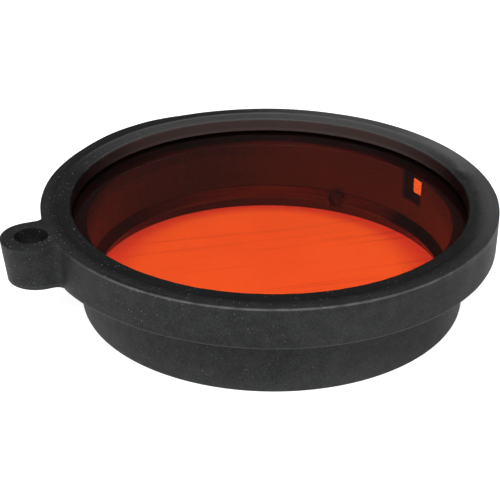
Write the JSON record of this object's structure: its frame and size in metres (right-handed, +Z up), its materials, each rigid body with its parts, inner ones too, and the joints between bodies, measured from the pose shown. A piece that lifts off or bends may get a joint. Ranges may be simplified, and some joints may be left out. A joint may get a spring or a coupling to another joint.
{
  "type": "push-on filter cap",
  "caption": "Round push-on colour filter: an orange-red disc held in a stepped rubber boot with a lanyard eye and a vent slot.",
  "frame": {"origin": "on the boot's axis, at the mouth plane of its sleeve, which is the face it rests on", "axes": "+Z up along the boot's axis, from the sleeve's mouth to the lip; -X towards the lanyard eye; +Y to the left of +X seen from above"},
  "size_m": [0.099, 0.09, 0.0211],
  "materials": {
    "boot_rubber": "matt moulded black rubber with a faint satin sheen and pale dust",
    "filter_acrylic": "clear orange-red acrylic, polished both faces"
  },
  "bodies": {
    "boot": {"rubber_boot": "boot_rubber"},
    "filter": {"filter_disc": "filter_acrylic"}
  },
  "joints": [
    {"name": "filter_turn", "type": "hinge", "parent": "boot", "child": "filter", "pos_m": [0, 0, 0.01635], "axis": [0, 0, 1], "continuous": true}
  ]
}
